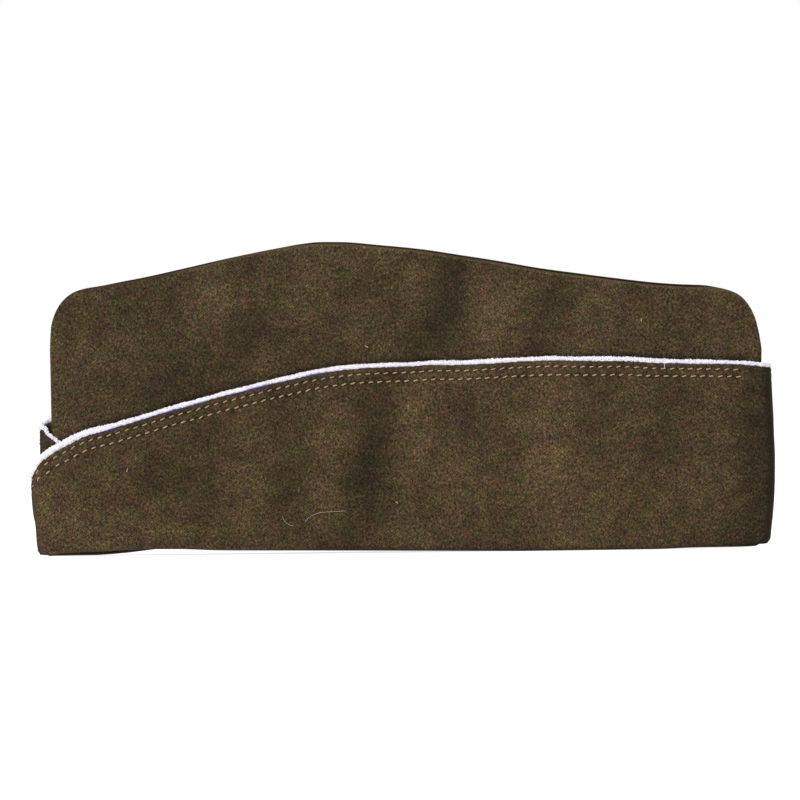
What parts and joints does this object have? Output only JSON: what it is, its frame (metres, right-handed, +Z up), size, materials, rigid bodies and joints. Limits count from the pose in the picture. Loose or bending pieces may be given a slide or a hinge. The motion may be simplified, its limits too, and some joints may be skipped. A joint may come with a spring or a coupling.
{
  "type": "garrison cap",
  "caption": "Fold-flat garrison cap in olive-drab wool: crown sides, infolded top gusset, turned-up curtain with white piping and topstitching, lining and sweatband.",
  "frame": {"origin": "centre of the head opening, on the plane of its bottom edge, on which the folded cap stands", "axes": "+Z up as worn, -Y towards the front, +Y towards the back, +X the wearer's left side; the cap's middle plane is X = 0"},
  "size_m": [0.0326, 0.2898, 0.1215],
  "materials": {
    "crown_wool": "brushed serge",
    "curtain_wool": "brushed serge",
    "interlining_canvas": "plain canvas",
    "piping_braid": "soft braid",
    "piping_core": "twisted cotton",
    "piping_flange_cloth": "thin twill",
    "topstitch_thread": "twisted thread",
    "lining_cotton": "plain cotton",
    "sweatband_leather": "satin grain",
    "sweatband_thread": "twisted thread",
    "seam_tape_cotton": "woven tape",
    "label_cloth": "blank woven label"
  },
  "bodies": {
    "crown_top": {"crown_top_left": "crown_wool", "crown_top_right": "crown_wool", "crown_top_seam_tape": "seam_tape_cotton"},
    "left_side": {"crown_side_left": "crown_wool", "curtain_outer_left": "curtain_wool", "curtain_facing_left": "curtain_wool", "curtain_interlining_left": "interlining_canvas", "piping_left": "piping_braid", "piping_cord_left": "piping_core", "piping_flange_left": "piping_flange_cloth", "topstitch_upper_left": "topstitch_thread", "topstitch_lower_left": "topstitch_thread", "lining_left": "lining_cotton", "sweatband_left": "sweatband_leather", "sweatband_stitch_left": "sweatband_thread"},
    "right_side": {"crown_side_right": "crown_wool", "curtain_outer_right": "curtain_wool", "curtain_facing_right": "curtain_wool", "curtain_interlining_right": "interlining_canvas", "piping_right": "piping_braid", "piping_cord_right": "piping_core", "piping_flange_right": "piping_flange_cloth", "topstitch_upper_right": "topstitch_thread", "topstitch_lower_right": "topstitch_thread", "lining_right": "lining_cotton", "sweatband_right": "sweatband_leather", "sweatband_stitch_right": "sweatband_thread", "size_label": "label_cloth"}
  },
  "joints": [
    {"name": "left_side_open", "type": "hinge", "parent": "crown_top", "child": "left_side", "pos_m": [0, 0, 0.124], "axis": [0, -1, 0], "range_deg": [0, 30]},
    {"name": "right_side_open", "type": "hinge", "parent": "crown_top", "child": "right_side", "pos_m": [0, 0, 0.124], "axis": [0, 1, 0], "range_deg": [0, 30]}
  ],
  "couplings": [
    {"joint": "right_side_open", "follows": "left_side_open", "ratio": 1}
  ]
}
